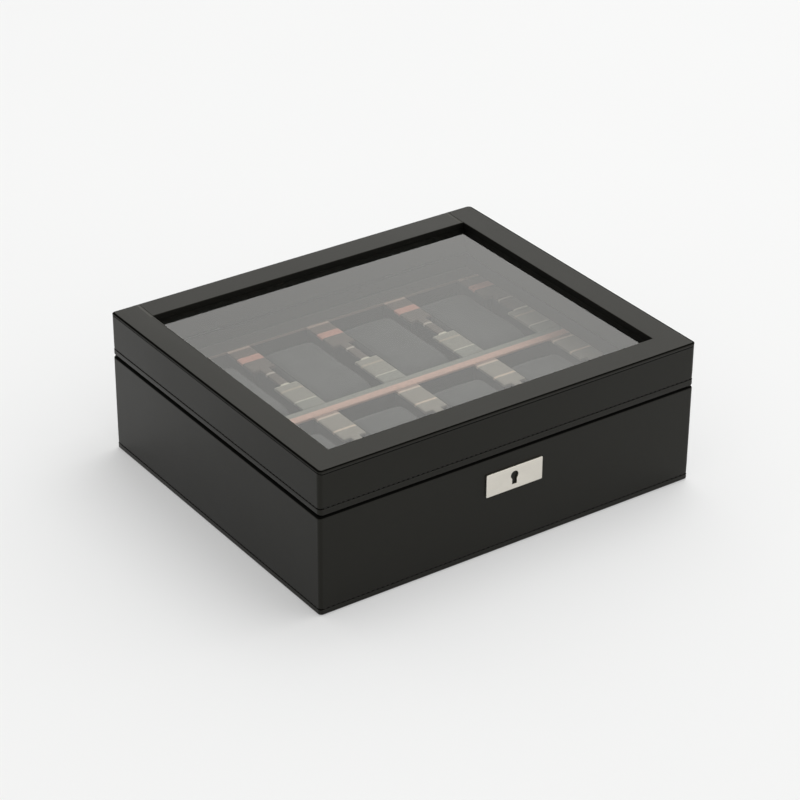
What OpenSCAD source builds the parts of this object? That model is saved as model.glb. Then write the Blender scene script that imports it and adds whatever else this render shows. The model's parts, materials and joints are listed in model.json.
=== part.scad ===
// Glazed watch box: a leather-covered case with a hinged, lockable, glazed lid.
// Inside are two rows of compartments, each with a lift-out pillow.
// X runs along the front, Y from front to back, Z up. The origin is the middle of the underside.

/* [Box] */
// Width along the front
box_w = 260; // [240:1:280]
// Depth from front to back
box_d = 222; // [212:1:232]
// Height with the lid closed
box_h = 91.5; // [90:0.5:100]
// Height of the lower box's rim
rim_z = 63; // [63:0.5:63]
// Air gap between the rim and the lid
lid_gap = 0.8; // [0.6:0.1:0.9]
// Thickness of the wall boards
board_t = 7; // [7:0.5:7]
// Thickness of the leather
leather_t = 0.8; // [0.6:0.1:0.8]
// Thickness of the inside lining
lining_t = 0.7; // [0.5:0.1:0.7]
// Radius of the upright corners
corner_r = 2.4; // [1.2:0.1:3]
// Radius of the leather's folded edges
edge_r = 0.5; // [0.4:0.05:0.8]

/* [Lid] */
// Width of the frame round the glass, seen from above
frame_w = 18.1; // [16:0.1:20]
// How far the glass lies below the top
glass_drop = 4.2; // [3.5:0.1:6]
// Thickness of the glass
glass_t = 2.5; // [2:0.5:3]
// Height of the strips that hold the glass
bead_h = 8; // [6:0.5:9]
// Width of the strips that hold the glass
bead_w = 4.5; // [3:0.5:6]

/* [Compartments] */
// Height of the top of the dividers
deck_z = 54.6; // [50:0.1:56]
// Compartments from left to right
columns = 4; // [4:1:4]
// Width of one compartment
bay_w = 41; // [38:0.5:42]
// Length of one compartment
bay_l = 84.4; // [80:0.2:86]
// Thickness of the divider between the two rows
middle_t = 10.4; // [8:0.2:12]
// Depth of a finger notch
notch_deep = 4.9; // [4.5:0.1:5.5]
// Length of a finger notch
notch_l = 23; // [18:1:30]
// Distance from the middle line to the middle of a finger notch
notch_y = 48; // [44:1:50]

/* [Pillows] */
// Width of a pillow
pillow_w = 39.8; // [36:0.2:40.2]
// Length of a pillow
pillow_l = 80; // [70:1:82]
// Height of the top of a pillow
pillow_top = 53; // [48:0.5:54]
// Radius of a pillow's ends, seen from the side
pillow_end_r = 15; // [8:0.5:18]
// Radius of a pillow's long edges
pillow_edge_r = 4; // [2:0.5:8]

/* [Lock] */
// Width of the lock plate
plate_w = 39; // [36:0.5:42]
// Height of the lock plate
plate_h = 14.5; // [14:0.5:16]
// Thickness of the lock plate
plate_t = 1.2; // [1:0.1:1.5]
// Height of the middle of the lock plate
plate_z = 45.5; // [45:0.05:46]
// Height of the centre of the keyhole
key_z = 47; // [46.5:0.1:47.3]
// Radius of the keyhole's round part
key_r = 2.6; // [2.2:0.1:2.8]
// Width of the keyhole's slot
key_slot = 3.2; // [2.4:0.1:3.2]
// How far the slot runs below that centre
key_drop = 5.7; // [5:0.1:6]
// Travel of the bolt
bolt_throw = 4; // [4:0.5:4]

/* [Hinges] */
// Distance from the middle to each hinge
hinge_x = 75; // [60:1:90]
// Length of a hinge
hinge_l = 30; // [28:1:36]
// Outer radius of the knuckles
knuckle_r = 1.6; // [1.6:0.1:1.6]
// Radius of the hinge pin
pin_r = 0.8; // [0.8:0.1:0.8]
// Running clearance between the pin and the lid's knuckle
pin_play = 0.05; // [0.03:0.01:0.08]

/* [Hidden] */
$fn = 48;
cut = 1;                                  // how far a cutting solid runs past a face
pad_t = 1.4;                              // felt pad, which stands on the table
cover_z = 0.6;                            // lowest point of the leather
turn_in = 4.5;                            // leather turned in under the floor
floor_z = pad_t + 5;                      // top of the floor board
tray_z = floor_z + 1.2;                   // top of the tray's floor
lid_z = rim_z + lid_gap;                  // lowest point of the lid
board_w = box_w - 2 * leather_t;          // outside of the boards
board_d = box_d - 2 * leather_t;
lining_w = board_w - 2 * board_t;         // outside of the lining
lining_d = board_d - 2 * board_t;
room_w = lining_w - 2 * lining_t;         // inside of the lining
room_d = lining_d - 2 * lining_t;
window_w = box_w - 2 * frame_w;           // opening in the top of the lid
window_d = box_d - 2 * frame_w;
glass_z = box_h - glass_drop;             // top of the glass
bead_z = glass_z - glass_t;               // top of the bead
bead_joint = 0.1;                         // gap where two strips of the bead meet
glass_gap = 0.3;                          // room round the glass
divider_w = (room_w - columns * bay_w) / (columns + 1);
pitch = bay_w + divider_w;
middle_y = middle_t / 2;
bay_end = middle_y + bay_l;               // far end of a compartment
bay_y = middle_y + bay_l / 2;             // middle of a compartment

axis_y = box_d / 2 - 0.4;                 // hinge axis
axis_z = rim_z + lid_gap / 2;
leaf_t = 1;
leaf_d = axis_y - (lining_d / 2 + 0.4);   // from the axis to the leaf's edge
knuckle_l = hinge_l / 3;
knuckle_gap = 0.2;                        // between neighbouring knuckles
swing_gap = 0.3;                          // round a knuckle that turns
screw_r = 1;
screw_head_r = 2;
screw_l = 8;
screw_x = hinge_l / 2 - 5;
leaf_screw_y = axis_y - 4.2;

lock_back = -lining_d / 2 - 0.2;          // inner face of the lock case
lock_front = -board_d / 2 + 1.2;          // outer face of the lock cover
lock_y = (lock_back + lock_front) / 2;
lock_w = 38;
lock_wall = 0.9;
lock_bottom = 37;
selvage_w = 48;
selvage_t = 1;
lock_screw_x = selvage_w / 2 - 3;
bolt_t = 1.5;
bolt_y = lock_back - lock_wall - 1.75;    // middle of the bolt's thickness, clear of the case's back
link_w = 2.2;                             // a link on the strike plate
link_t = 2.9;
link_play = 0.45;                         // round a link in the selvage's slot
link_eye_t = 1.9;                         // the opening in a link, front to back
link_x = [-9, 9];
link_bottom = 51.4;
eye_z = 54;                               // middle of a link's eye
nose_h = 3;                               // height of a bolt's nose
nose_l = bolt_throw + 0.1;
nose_gap = 0.4;
stem_w = 2;
bar_l = 27;                               // the bolt's bar
bar_h = 2.8;
talon_w = 5;                              // notch that the key's bit works in
talon_h = 1.2;

row_names = ["front", "rear"];

leather = [0.17, 0.165, 0.155];
board = [0.62, 0.50, 0.36];
stripe = [0.66, 0.58, 0.52];
suede = [0.16, 0.15, 0.15];
steel = [0.72, 0.71, 0.68];
nickel = [0.80, 0.78, 0.73];

// ---- Shared shapes ----

// A block centred on X and Y, from z0 to z1
module slab(w, d, z0, z1) {
    translate([-w / 2, -d / 2, z0]) cube([w, d, z1 - z0]);
}

// A rectangular ring, from z0 to z1
module ring(w, d, inner_w, inner_d, z0, z1) {
    difference() {
        slab(w, d, z0, z1);
        slab(inner_w, inner_d, z0 - cut, z1 + cut);
    }
}

// Sweeps an outline round a w by d rectangle; the outline's x is measured outwards from it
module swept_round(w, d) {
    for (turn = [0, 180]) rotate([0, 0, turn]) {
        translate([w / 2, d / 2, 0]) rotate_extrude(angle = 90) children();
        translate([-w / 2, d / 2, 0]) rotate([0, 0, 90]) rotate_extrude(angle = 90) children();
        translate([w / 2, d / 2, 0]) rotate([90, 0, 0]) linear_extrude(d) children();
        translate([-w / 2, d / 2, 0]) rotate([90, 0, 90]) linear_extrude(w) children();
    }
}

// Outline of the leather on a side, folded over soft edges at z0 and z1
module skin_outline(z0, z1) {
    difference() {
        union() {
            translate([0, z0]) square([corner_r - edge_r, z1 - z0]);
            translate([0, z0 + edge_r]) square([corner_r, z1 - z0 - 2 * edge_r]);
            translate([corner_r - edge_r, z0 + edge_r]) circle(edge_r);
            translate([corner_r - edge_r, z1 - edge_r]) circle(edge_r);
        }
        translate([-cut, z0 + leather_t])
            square([corner_r - leather_t + cut, z1 - z0 - 2 * leather_t]);
    }
}

// Leather round a box, open inside: the top fold leaves one opening and the bottom fold another
module wrap(z0, z1, top_w, top_d, bottom_w, bottom_d) {
    flat_w = box_w - 2 * corner_r;
    flat_d = box_d - 2 * corner_r;
    swept_round(flat_w, flat_d) skin_outline(z0, z1);
    ring(flat_w, flat_d, top_w, top_d, z1 - leather_t, z1);
    ring(flat_w, flat_d, bottom_w, bottom_d, z0, z0 + leather_t);
}

// Keeps the quarter of a frame that lies towards side 0 (front), 1 (right), 2 (back) or 3 (left),
// cut at 45 degrees at each corner
module mitred(side, w, d) {
    along = side % 2 == 0 ? w : d;
    across = side % 2 == 0 ? d : w;
    intersection() {
        children();
        rotate([0, 0, 90 * side]) linear_extrude(2 * box_h)
            polygon([[-along / 2, -across / 2], [along / 2, -across / 2],
                     [along / 2 - across / 2, 0], [across / 2 - along / 2, 0]]);
    }
}

// A cushion w by l by h, centred, with ends of radius end_r and long edges of radius edge
module soft_block(w, l, h, end_r, edge) {
    intersection() {
        rotate([90, 0, 0]) linear_extrude(l, center = true) rounded_outline(w, h, edge);
        rotate([90, 0, 90]) linear_extrude(w, center = true) rounded_outline(l, h, end_r);
    }
}

// A rectangle with round corners, centred
module rounded_outline(w, h, r) {
    square([w - 2 * r, h], center = true);
    square([w, h - 2 * r], center = true);
    for (x = [-1, 1], y = [-1, 1]) translate([x * (w / 2 - r), y * (h / 2 - r)]) circle(r);
}

// A countersunk screw, with its head's face at z = 0 and its shank down to -screw_l
module screw() {
    difference() {
        union() {
            translate([0, 0, -leaf_t]) cylinder(h = leaf_t, r1 = screw_r, r2 = screw_head_r);
            translate([0, 0, -screw_l]) cylinder(h = screw_l - leaf_t + 0.01, r = screw_r);
        }
        for (a = [0, 90]) rotate([0, 0, a]) slab(2.2, 0.5, -0.5, cut);
    }
}

// The hole that a screw fills
module screw_hole() {
    translate([0, 0, -leaf_t]) cylinder(h = leaf_t, r1 = screw_r, r2 = screw_head_r);
    translate([0, 0, -0.001]) cylinder(h = cut, r = screw_head_r);
    translate([0, 0, -screw_l]) cylinder(h = screw_l - leaf_t + 0.01, r = screw_r);
}

module keyhole_outline() {
    circle(key_r);
    translate([-key_slot / 2, -key_drop]) square([key_slot, key_drop]);
}

// The keyhole as a solid that cuts from y0 to y1
module keyhole(y0, y1) {
    translate([0, y1, key_z]) rotate([90, 0, 0]) linear_extrude(y1 - y0) keyhole_outline();
}

// ---- Lower box ----

// Where the boards and leather make room for the hinges; up is 1 for the lid and -1 for the base
module hinge_mortises(up) {
    for (x = [-hinge_x, hinge_x]) translate([x, 0, 0]) {
        face = axis_z + up * lid_gap / 2;
        low = min(face + up * leaf_t, face - up * cut);
        translate([-hinge_l / 2, axis_y - leaf_d, low]) cube([hinge_l, leaf_d, leaf_t + cut]);
        translate([-hinge_l / 2 - swing_gap, axis_y, axis_z]) rotate([0, 90, 0])
            cylinder(h = hinge_l + 2 * swing_gap, r = knuckle_r + swing_gap);
    }
}

module base_board_cuts() {
    hinge_mortises(-1);
    for (x = [-hinge_x, hinge_x], s = [-screw_x, screw_x])
        translate([x + s, leaf_screw_y, rim_z]) screw_hole();
    // pocket for the lock, its selvage, its screws and the keyhole
    translate([-lock_w / 2, lock_front, lock_bottom])
        cube([lock_w, lock_back - lock_front, rim_z]);
    translate([-selvage_w / 2, lock_front, rim_z - selvage_t])
        cube([selvage_w, lock_back - lock_front, selvage_t + cut]);
    for (s = [-1, 1]) translate([s * lock_screw_x, lock_y, rim_z]) screw_hole();
    keyhole(-box_d, lock_y);
}

// The boards' outside, which fills the leather's round corners
module board_block(z0, z1) {
    translate([0, 0, z0]) linear_extrude(z1 - z0)
        rounded_outline(board_w, board_d, corner_r - leather_t);
}

module base_board_frame() {
    difference() {
        board_block(pad_t, rim_z - leather_t);
        slab(lining_w, lining_d, 0, box_h);
        base_board_cuts();
    }
}

module base_front_wall() { color(board) mitred(0, board_w, board_d) base_board_frame(); }
module base_right_wall() { color(board) mitred(1, board_w, board_d) base_board_frame(); }
module base_back_wall() { color(board) mitred(2, board_w, board_d) base_board_frame(); }
module base_left_wall() { color(board) mitred(3, board_w, board_d) base_board_frame(); }
module base_floor() { color(board) slab(lining_w, lining_d, pad_t, floor_z); }

module base_cover() {
    color(leather) difference() {
        wrap(cover_z, rim_z, room_w, room_d, box_w - 2 * turn_in, box_d - 2 * turn_in);
        hinge_mortises(-1);
        translate([-selvage_w / 2, lock_front, rim_z - selvage_t])
            cube([selvage_w, lock_back - lock_front, selvage_t + cut]);
        keyhole(-box_d, -board_d / 2 + 0.01);
    }
}

module underside_pad() {
    color(suede) slab(box_w - 2 * turn_in - 0.6, box_d - 2 * turn_in - 0.6, 0, pad_t);
}

module base_lining() {
    color(suede) ring(lining_w, lining_d, room_w, room_d, floor_z, rim_z - leather_t);
}

// ---- Tray ----

module tray_floor() { color(suede) slab(room_w, room_d, floor_z, tray_z); }

// A ledge along the front or the back wall
module end_ledge(side) {
    y0 = side > 0 ? bay_end : -room_d / 2;
    color(stripe) translate([-room_w / 2, y0, tray_z])
        cube([room_w, room_d / 2 - bay_end, deck_z - tray_z]);
}

module front_ledge() { end_ledge(-1); }
module rear_ledge() { end_ledge(1); }

module middle_divider() { color(stripe) slab(room_w, middle_t, tray_z, deck_z); }

// One notch on the side of a divider, from its face at x = 0 towards +X
module notch(y) {
    translate([-cut, y - notch_l / 2, tray_z - cut])
        cube([notch_deep + cut, notch_l, deck_z - tray_z + 2 * cut]);
}

// The ledge along a side wall, in two lengths, one for each row
module side_ledge(side) {
    color(stripe) for (row = [-1, 1]) difference() {
        translate([side > 0 ? room_w / 2 - divider_w : -room_w / 2, row > 0 ? middle_y : -bay_end,
                   tray_z])
            cube([divider_w, bay_l, deck_z - tray_z]);
        translate([side * (room_w / 2 - divider_w), 0, 0]) mirror([side > 0 ? 0 : 1, 0, 0])
            notch(row * notch_y);
    }
}

module left_ledge() { side_ledge(-1); }
module right_ledge() { side_ledge(1); }

// A divider between two columns, in row -1 (front) or 1 (rear)
module divider(row, i) {
    color(stripe) translate([(i - columns / 2) * pitch, 0, 0]) difference() {
        translate([-divider_w / 2, row > 0 ? middle_y : -bay_end, tray_z])
            cube([divider_w, bay_l, deck_z - tray_z]);
        for (m = [0, 1]) mirror([m, 0, 0]) translate([-divider_w / 2, 0, 0]) notch(row * notch_y);
    }
}

module pillow(row, i) {
    h = pillow_top - tray_z - 0.3;
    color(suede) translate([(i - (columns + 1) / 2) * pitch, row * bay_y, pillow_top - h / 2])
        soft_block(pillow_w, pillow_l, h, pillow_end_r, pillow_edge_r);
}

// ---- Lock ----

module lock_plate() {
    bevel = 0.3;
    color(nickel) difference() {
        union() {
            translate([-plate_w / 2, -box_d / 2 - plate_t + bevel, plate_z - plate_h / 2])
                cube([plate_w, plate_t - bevel, plate_h]);
            translate([-plate_w / 2 + bevel, -box_d / 2 - plate_t, plate_z - plate_h / 2 + bevel])
                cube([plate_w - 2 * bevel, bevel, plate_h - 2 * bevel]);
        }
        keyhole(-box_d, -box_d / 2 + cut);
    }
}

// Slots that the strike plate's links drop through
module link_slots() {
    for (x = link_x) translate([x - link_w / 2 - link_play,
                                  bolt_y - link_t / 2 - link_play, rim_z - selvage_t - cut])
        cube([link_w + 2 * link_play, link_t + 2 * link_play, selvage_t + 2 * cut]);
}

module lock_case() {
    inner_w = lock_w - 2 * lock_wall;
    color(steel) difference() {
        union() {
            translate([-lock_w / 2, lock_front + lock_wall, lock_bottom])
                cube([lock_w, lock_back - lock_front - lock_wall, rim_z - lock_bottom]);
            translate([-selvage_w / 2, lock_front, rim_z - selvage_t])
                cube([selvage_w, lock_back - lock_front, selvage_t]);
        }
        translate([-inner_w / 2, lock_front - cut, lock_bottom + lock_wall])
            cube([inner_w, lock_back - lock_front - lock_wall + cut,
                  rim_z - selvage_t - lock_bottom - lock_wall]);
        link_slots();
        for (s = [-1, 1]) translate([s * lock_screw_x, lock_y, rim_z]) screw_hole();
    }
}

module lock_cover() {
    color(steel) difference() {
        translate([-lock_w / 2, lock_front, lock_bottom])
            cube([lock_w, lock_wall, rim_z - selvage_t - lock_bottom]);
        keyhole(lock_front - cut, lock_front + 2 * cut);
    }
}

module key_post() {
    color(steel) translate([0, lock_back - lock_wall, key_z]) rotate([90, 0, 0])
        cylinder(h = lock_back - lock_front - 2 * lock_wall - 0.1, r = 0.8);
}

module lock_screws() {
    color(steel) for (s = [-1, 1]) translate([s * lock_screw_x, lock_y, rim_z]) screw();
}

// A bar with two upright hooks, whose noses run into the links when the bar moves to +X
module lock_bolt() {
    bar_top = link_bottom - 0.4;
    nose_top = eye_z + nose_h / 2;
    reach = link_w / 2 + nose_gap;
    bar_from = link_x[0] - reach - nose_l - stem_w;
    color(nickel) difference() {
        union() {
            translate([bar_from, bolt_y - bolt_t / 2, bar_top - bar_h])
                cube([bar_l, bolt_t, bar_h]);
            for (x = link_x) translate([x - reach - nose_l, bolt_y - bolt_t / 2, 0]) {
                translate([-stem_w, 0, bar_top]) cube([stem_w, bolt_t, nose_top - bar_top]);
                translate([0, 0, eye_z - nose_h / 2]) cube([nose_l, bolt_t, nose_h]);
            }
        }
        translate([-talon_w / 2, bolt_y - bolt_t, bar_top - bar_h - cut])
            cube([talon_w, 2 * bolt_t, cut + talon_h]);
    }
}

module strike_plate() {
    eye_h = nose_h + 0.8;
    color(nickel) difference() {
        union() {
            translate([-selvage_w / 2, lock_front, lid_z])
                cube([selvage_w, lock_back - lock_front, selvage_t]);
            for (x = link_x) translate([x - link_w / 2, bolt_y - link_t / 2, link_bottom])
                cube([link_w, link_t, lid_z - link_bottom + 0.1]);
        }
        for (x = link_x) translate([x - link_w, bolt_y - link_eye_t / 2, eye_z - eye_h / 2])
            cube([2 * link_w, link_eye_t, eye_h]);
        strike_screw_places() screw_hole();
    }
}

module strike_screw_places() {
    for (s = [-1, 1]) translate([s * lock_screw_x, lock_y, lid_z]) mirror([0, 0, 1]) children();
}

module strike_screws() { color(steel) strike_screw_places() screw(); }

// ---- Hinges ----

// Knuckles as x ranges from the hinge's middle: the lid's leaf has one, the base's leaf has two
lid_knuckles = [[-knuckle_l / 2, knuckle_l / 2]];
base_knuckles = [[-hinge_l / 2, -knuckle_l / 2 - knuckle_gap],
                 [knuckle_l / 2 + knuckle_gap, hinge_l / 2]];

module on_axis(span, r) {
    translate([span[0], axis_y, axis_z]) rotate([0, 90, 0])
        cylinder(h = span[1] - span[0], r = r);
}

// One leaf with its knuckles; up is 1 for the lid's leaf and -1 for the base's
module leaf(side, up) {
    face = axis_z + up * lid_gap / 2;
    bore = up > 0 ? pin_r + pin_play : pin_r;
    own = up > 0 ? lid_knuckles : base_knuckles;
    other = up > 0 ? base_knuckles : lid_knuckles;
    color(steel) translate([side * hinge_x, 0, 0]) difference() {
        union() {
            difference() {
                translate([-hinge_l / 2, axis_y - leaf_d, min(face, face + up * leaf_t)])
                    cube([hinge_l, leaf_d, leaf_t]);
                for (k = other)
                    on_axis([k[0] - knuckle_gap, k[1] + knuckle_gap], knuckle_r + swing_gap);
            }
            for (k = own) on_axis(k, knuckle_r);
        }
        on_axis([-hinge_l, hinge_l], bore);
        for (s = [-screw_x, screw_x]) translate([s, leaf_screw_y, face])
            mirror([0, 0, up > 0 ? 1 : 0]) screw_hole();
    }
}

module hinge_pin(side) {
    color(steel) translate([side * hinge_x, 0, 0]) on_axis([-hinge_l / 2, hinge_l / 2], pin_r);
}

module hinge_screws(up) {
    face = axis_z + up * lid_gap / 2;
    color(steel) for (x = [-hinge_x, hinge_x], s = [-screw_x, screw_x])
        translate([x + s, leaf_screw_y, face]) mirror([0, 0, up > 0 ? 1 : 0]) screw();
}

// ---- Lid ----

module lid_board_frame() {
    difference() {
        board_block(lid_z + leather_t, box_h - leather_t);
        slab(window_w + 2 * leather_t, window_d + 2 * leather_t, lid_z, box_h);
        slab(lining_w, lining_d, lid_z - cut, glass_z);
        hinge_mortises(1);
        for (x = [-hinge_x, hinge_x], s = [-screw_x, screw_x])
            translate([x + s, leaf_screw_y, lid_z]) mirror([0, 0, 1]) screw_hole();
        translate([-selvage_w / 2, lock_front, lid_z - cut])
            cube([selvage_w, lock_back - lock_front, selvage_t + cut]);
        strike_screw_places() screw_hole();
    }
}

module lid_front_rail() { color(board) mitred(0, board_w, board_d) lid_board_frame(); }
module lid_right_rail() { color(board) mitred(1, board_w, board_d) lid_board_frame(); }
module lid_back_rail() { color(board) mitred(2, board_w, board_d) lid_board_frame(); }
module lid_left_rail() { color(board) mitred(3, board_w, board_d) lid_board_frame(); }

module lid_cover() {
    color(leather) difference() {
        union() {
            wrap(lid_z, box_h, window_w, window_d, room_w, room_d);
            ring(window_w + 2 * leather_t, window_d + 2 * leather_t, window_w, window_d,
                 glass_z, box_h);
        }
        hinge_mortises(1);
        translate([-selvage_w / 2, lock_front, lid_z - cut])
            cube([selvage_w, lock_back - lock_front, selvage_t + cut]);
    }
}

module lid_lining() {
    color(suede) ring(lining_w, lining_d, room_w, room_d, lid_z + leather_t, bead_z);
}

module glass_pane() {
    color([0.75, 0.8, 0.8, 0.3])
        slab(lining_w - 2 * glass_gap, lining_d - 2 * glass_gap, bead_z, glass_z);
}

// Four strips that hold the glass up against the frame, the short ones between the long ones
module glass_bead() {
    short = room_d - 2 * bead_w - 2 * bead_joint;
    color(suede) for (s = [-1, 1]) {
        translate([0, s * (room_d - bead_w) / 2, 0]) slab(room_w, bead_w, bead_z - bead_h, bead_z);
        translate([s * (room_w - bead_w) / 2, 0, 0]) slab(bead_w, short, bead_z - bead_h, bead_z);
    }
}

base_front_wall();
base_back_wall();
base_left_wall();
base_right_wall();
base_floor();
base_cover();
underside_pad();
base_lining();
tray_floor();
front_ledge();
rear_ledge();
left_ledge();
right_ledge();
middle_divider();
for (r = [0, 1], i = [1 : columns - 1])
    divider(2 * r - 1, i);
for (r = [0, 1], i = [1 : columns])
    pillow(2 * r - 1, i);
lock_plate();
lock_case();
lock_cover();
key_post();
lock_screws();
lock_bolt();
strike_plate();
strike_screws();
leaf(-1, -1);  // left_hinge_base_leaf
leaf(-1, 1);  // left_hinge_lid_leaf
hinge_pin(-1);  // left_hinge_pin
leaf(1, -1);  // right_hinge_base_leaf
leaf(1, 1);  // right_hinge_lid_leaf
hinge_pin(1);  // right_hinge_pin
hinge_screws(-1);  // hinge_base_screws
hinge_screws(1);  // hinge_lid_screws
lid_front_rail();
lid_back_rail();
lid_left_rail();
lid_right_rail();
lid_cover();
lid_lining();
glass_pane();
glass_bead();
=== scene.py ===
import json
import math
import random

import bmesh
import bpy
from mathutils import Matrix, Vector, noise
from mathutils.bvhtree import BVHTree


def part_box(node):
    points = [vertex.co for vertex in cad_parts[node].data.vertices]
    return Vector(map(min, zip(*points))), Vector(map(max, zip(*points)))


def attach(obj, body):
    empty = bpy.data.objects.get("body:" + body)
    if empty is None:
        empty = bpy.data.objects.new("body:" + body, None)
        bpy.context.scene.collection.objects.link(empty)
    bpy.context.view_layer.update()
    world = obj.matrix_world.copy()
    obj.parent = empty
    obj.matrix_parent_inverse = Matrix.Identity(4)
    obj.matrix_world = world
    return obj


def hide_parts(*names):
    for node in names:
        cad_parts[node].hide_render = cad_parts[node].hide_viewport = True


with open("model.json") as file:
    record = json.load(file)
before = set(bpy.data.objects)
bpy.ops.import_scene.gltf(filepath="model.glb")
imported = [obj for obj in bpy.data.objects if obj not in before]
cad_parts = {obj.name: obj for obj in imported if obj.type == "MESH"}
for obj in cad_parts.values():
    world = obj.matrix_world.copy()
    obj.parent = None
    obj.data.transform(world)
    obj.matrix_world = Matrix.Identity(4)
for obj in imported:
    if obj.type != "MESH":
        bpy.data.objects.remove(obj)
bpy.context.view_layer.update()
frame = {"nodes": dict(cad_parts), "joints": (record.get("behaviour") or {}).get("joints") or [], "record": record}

# A leather-covered watch box. Lengths are in metres, in the CAD frame: X right, Y back, Z up.

MM = 0.001

# ---- Sizes, from the frame ----

COVER_LO, COVER_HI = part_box("base_cover")
LID_LO, LID_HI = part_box("lid_cover")
GLASS_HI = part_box("glass_pane")[1]
TRAY_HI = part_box("tray_floor")[1]
MIDDLE_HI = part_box("middle_divider")[1]
PLATE_LO, PLATE_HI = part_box("lock_plate")
SELVAGE_LO, SELVAGE_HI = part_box("lock_case")
STRIKE_LO, STRIKE_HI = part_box("strike_plate")

HALF_W, HALF_D = COVER_HI.x, COVER_HI.y
RIM_Z = COVER_HI.z
LID_Z, TOP_Z = LID_LO.z, LID_HI.z
WALL = HALF_W - TRAY_HI.x                    # leather to the inside of the lining
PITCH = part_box("rear_divider_3")[0].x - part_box("rear_divider_2")[0].x
DECK_Z = MIDDLE_HI.z
TRAY_Z = TRAY_HI.z
LEATHER = 0.8 * MM
BASE_CORNER_R = 2.4 * MM
LID_CORNER_R = 2.8 * MM
EDGE_R = 0.5 * MM
FRAME_W = 18.1 * MM                          # frame round the glass, seen from above
TURN_IN = 4.5 * MM                           # leather folded in under the floor
SEAM_UP = 4.1 * MM                           # stitched line above a lower edge
BASE_SEAM_UP = 3.3 * MM
NOTCH_DEEP = 4.9 * MM
NOTCH_Y = (36.5 * MM, 59.5 * MM)
KEY_Z = 47 * MM                              # middle of the keyhole's round part
KEY_R, KEY_SLOT, KEY_DROP = 2.6 * MM, 1.6 * MM, 5.7 * MM    # its radius, half slot and reach down
KNUCKLE_ROOM = 1.9 * MM                      # radius cut out round a hinge's knuckles

random.seed(7)


# ---- Node helpers ----

class Nodes:
    """Builds one material's node tree."""

    def __init__(self, name):
        self.material = bpy.data.materials.new(name)
        self.material.use_nodes = True
        self.tree = self.material.node_tree
        self.tree.nodes.clear()
        self.output = self.tree.nodes.new("ShaderNodeOutputMaterial")

    def add(self, kind, links=None, **values):
        """A node; values are its properties or its inputs, and links feed its inputs."""
        node = self.tree.nodes.new("ShaderNode" + kind)
        for key, value in values.items():
            if hasattr(node, key):
                setattr(node, key, value)
            else:
                node.inputs[key.replace("_", " ")].default_value = value
        for key, source in (links or {}).items():
            self.tree.links.new(source, node.inputs[key])
        return node

    def math(self, operation, a, b=None, c=None, clamp=False):
        node = self.tree.nodes.new("ShaderNodeMath")
        node.operation = operation
        node.use_clamp = clamp
        for i, value in enumerate((a, b, c)):
            if isinstance(value, (int, float)):
                node.inputs[i].default_value = value
            elif value is not None:
                self.tree.links.new(value, node.inputs[i])
        return node.outputs[0]

    def mix(self, factor, a, b, blend="MIX"):
        node = self.tree.nodes.new("ShaderNodeMix")
        node.data_type = "RGBA"
        node.blend_type = blend
        for socket, value in ((node.inputs[0], factor), (node.inputs[6], a), (node.inputs[7], b)):
            if isinstance(value, (int, float)):
                socket.default_value = value
            elif isinstance(value, tuple):
                socket.default_value = (*value, 1)
            else:
                self.tree.links.new(value, socket)
        return node.outputs[2]

    def ramp(self, factor, stops, interpolation="LINEAR"):
        node = self.add("ValToRGB", {"Fac": factor})
        ramp = node.color_ramp
        ramp.interpolation = interpolation
        while len(ramp.elements) < len(stops):
            ramp.elements.new(1.0)
        for element, (position, colour) in zip(ramp.elements, stops):
            element.position = position
            element.color = (*colour, 1)
        return node.outputs["Color"]

    def bump(self, height, strength, distance, normal=None):
        links = {"Height": height}
        if normal is not None:
            links["Normal"] = normal
        return self.add("Bump", links, Strength=strength, Distance=distance).outputs[0]

    def finish(self, shader):
        self.tree.links.new(shader.outputs[0], self.output.inputs["Surface"])
        return self.material


LEATHER_TONE = (1.0, 0.97, 0.90)
LEATHER_DARK, LEATHER_LIGHT = 0.0045, 0.0075


def leather_material(name, tint=1.0, gloss=0.34, shine=0.207):
    """Smooth black leather with a fine pebbled grain and slight rubbing."""
    n = Nodes(name)
    at = n.add("TexCoord").outputs["Object"]
    warp = n.add("TexNoise", {"Vector": at}, Scale=900.0, Detail=2.0).outputs["Color"]
    shift = n.add("VectorMath", {0: warp}, operation="SCALE", Scale=0.0005).outputs[0]
    moved = n.add("VectorMath", {0: at, 1: shift}, operation="ADD").outputs[0]
    pebble = n.add("TexVoronoi", {"Vector": moved}, Scale=1150.0, feature="DISTANCE_TO_EDGE")
    grain = n.math("MINIMUM", n.math("MULTIPLY", pebble.outputs["Distance"], 4.0), 1.0)
    pores = n.add("TexNoise", {"Vector": at}, Scale=2600.0, Detail=3.0).outputs["Fac"]
    cloud = n.add("TexNoise", {"Vector": at}, Scale=16.0, Detail=4.0, Roughness=0.6).outputs["Fac"]
    height = n.math("ADD", grain, n.math("MULTIPLY", pores, 0.6))
    colour = n.mix(cloud, tuple(LEATHER_DARK * tint * c for c in LEATHER_TONE),
                   tuple(LEATHER_LIGHT * tint * c for c in LEATHER_TONE))
    rough = n.math("ADD", n.math("MULTIPLY", cloud, 0.10),
                   n.math("SUBTRACT", gloss, n.math("MULTIPLY", grain, 0.04)))
    soft = n.bump(cloud, 0.10, 1.2 * MM)
    normal = n.bump(height, 0.30, 0.05 * MM, soft)
    return n.finish(n.add(
        "BsdfPrincipled", {"Base Color": colour, "Roughness": rough, "Normal": normal},
        Specular_IOR_Level=shine, Specular_Tint=(1.0, 0.985, 0.84, 1.0)))


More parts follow.
